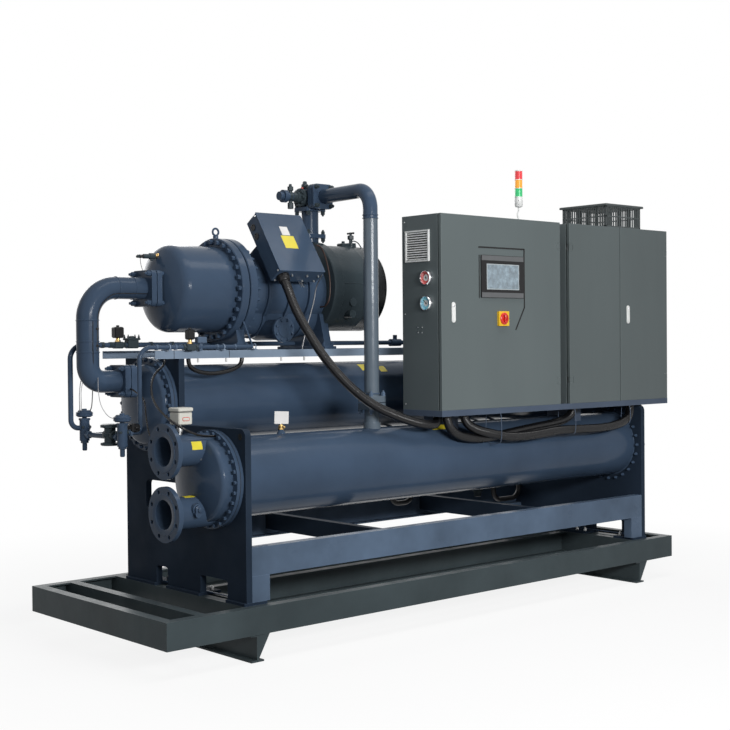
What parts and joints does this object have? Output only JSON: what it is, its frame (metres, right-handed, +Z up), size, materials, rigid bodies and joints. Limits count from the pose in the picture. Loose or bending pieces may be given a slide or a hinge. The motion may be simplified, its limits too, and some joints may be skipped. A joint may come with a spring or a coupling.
{
  "type": "water-cooled screw chiller",
  "caption": "Water-cooled screw chiller on a steel skid: shell-and-tube vessels, a screw compressor on rails and control cabinets with opening doors.",
  "frame": {"origin": "centre of the outline, on the floor under the feet", "axes": "+X along the skid from the water flanges to the cabinets, +Y from the cabinet doors to the back, +Z up"},
  "size_m": [4.07, 1.355, 2.682],
  "materials": {
    "blue_enamel": "semi-gloss enamel",
    "dark_enamel": "semi-gloss enamel on casting",
    "skid_enamel": "semi-gloss enamel",
    "cabinet_enamel": "fine textured powder coat",
    "rail_enamel": "semi-gloss enamel",
    "white_plastic": "gloss",
    "grey_plastic": "satin",
    "yellow_plastic": "satin",
    "red_plastic": "gloss",
    "galvanised_steel": "galvanised",
    "beige_plastic": "matt",
    "chrome_trim": "bright",
    "lamp_plastic": "gloss lens",
    "brass_fitting": "bright",
    "black_conduit": "satin, corrugated"
  },
  "bodies": {
    "chiller": {"base_centre_beam": "skid_enamel", "base_cross_members": "skid_enamel", "base_end_channels": "skid_enamel", "base_side_channels": "skid_enamel", "beam_stubs": "blue_enamel", "box_wire": "black_conduit", "cabinet_louvre": "beige_plastic", "cabinet_rails": "rail_enamel", "cabinet_saddles": "rail_enamel", "capacity_cover": "blue_enamel", "compressor_cross_rails": "blue_enamel", "compressor_feet": "blue_enamel", "compressor_rails": "blue_enamel", "condenser_left_head": "blue_enamel", "condenser_shell": "blue_enamel", "conduit_a": "black_conduit", "conduit_b": "black_conduit", "conduit_c": "black_conduit", "discharge_elbow": "blue_enamel", "discharge_riser": "blue_enamel", "discharge_valve": "blue_enamel", "end_plate_pads": "blue_enamel", "evaporator_left_head": "blue_enamel", "evaporator_nozzles": "blue_enamel", "evaporator_shell": "blue_enamel", "expansion_valves": "brass_fitting", "flow_switch": "beige_plastic", "foot_beams": "skid_enamel", "frame_cross_beams": "blue_enamel", "left_cabinet_body": "cabinet_enamel", "left_end_plate": "blue_enamel", "long_beams": "blue_enamel", "lower_water_nozzle": "blue_enamel", "motor_housing": "blue_enamel", "mounting_plates": "galvanised_steel", "oil_separator": "dark_enamel", "pressure_gauges": "chrome_trim", "rail_cable": "black_conduit", "refrigerant_lines": "blue_enamel", "relief_valve": "brass_fitting", "right_cabinet_body": "cabinet_enamel", "right_end_plate": "blue_enamel", "right_heads": "blue_enamel", "rotor_housing": "dark_enamel", "sensor_cable": "black_conduit", "suction_elbows": "blue_enamel", "suction_flanges": "blue_enamel", "suction_riser": "blue_enamel", "terminal_box": "blue_enamel", "tower_light": "lamp_plastic", "upper_water_nozzle": "blue_enamel", "vent_hood": "cabinet_enamel"},
    "left_door": {"left_cabinet_door": "cabinet_enamel", "left_door_handle": "white_plastic", "hmi_panel": "grey_plastic", "switch_plate": "yellow_plastic"},
    "switch_handle": {"switch_knob": "red_plastic"},
    "right_left_leaf": {"right_cabinet_left_door": "cabinet_enamel"},
    "right_right_leaf": {"right_cabinet_right_door": "cabinet_enamel", "right_door_handle": "white_plastic"}
  },
  "joints": [
    {"name": "left_door_hinge", "type": "hinge", "parent": "chiller", "child": "left_door", "pos_m": [0.904, -0.6375, 1.79], "axis": [0, 0, 1], "range_deg": [0, 90]},
    {"name": "switch_turn", "type": "hinge", "parent": "left_door", "child": "switch_handle", "pos_m": [0.377, -0.6575, 1.751], "axis": [0, -1, 0], "range_deg": [0, 90]},
    {"name": "right_cabinet_left_hinge", "type": "hinge", "parent": "chiller", "child": "right_left_leaf", "pos_m": [1.014, -0.6375, 1.79], "axis": [0, 0, -1], "range_deg": [0, 90]},
    {"name": "right_cabinet_right_hinge", "type": "hinge", "parent": "chiller", "child": "right_right_leaf", "pos_m": [2.024, -0.6375, 1.79], "axis": [0, 0, 1], "range_deg": [0, 110]}
  ]
}
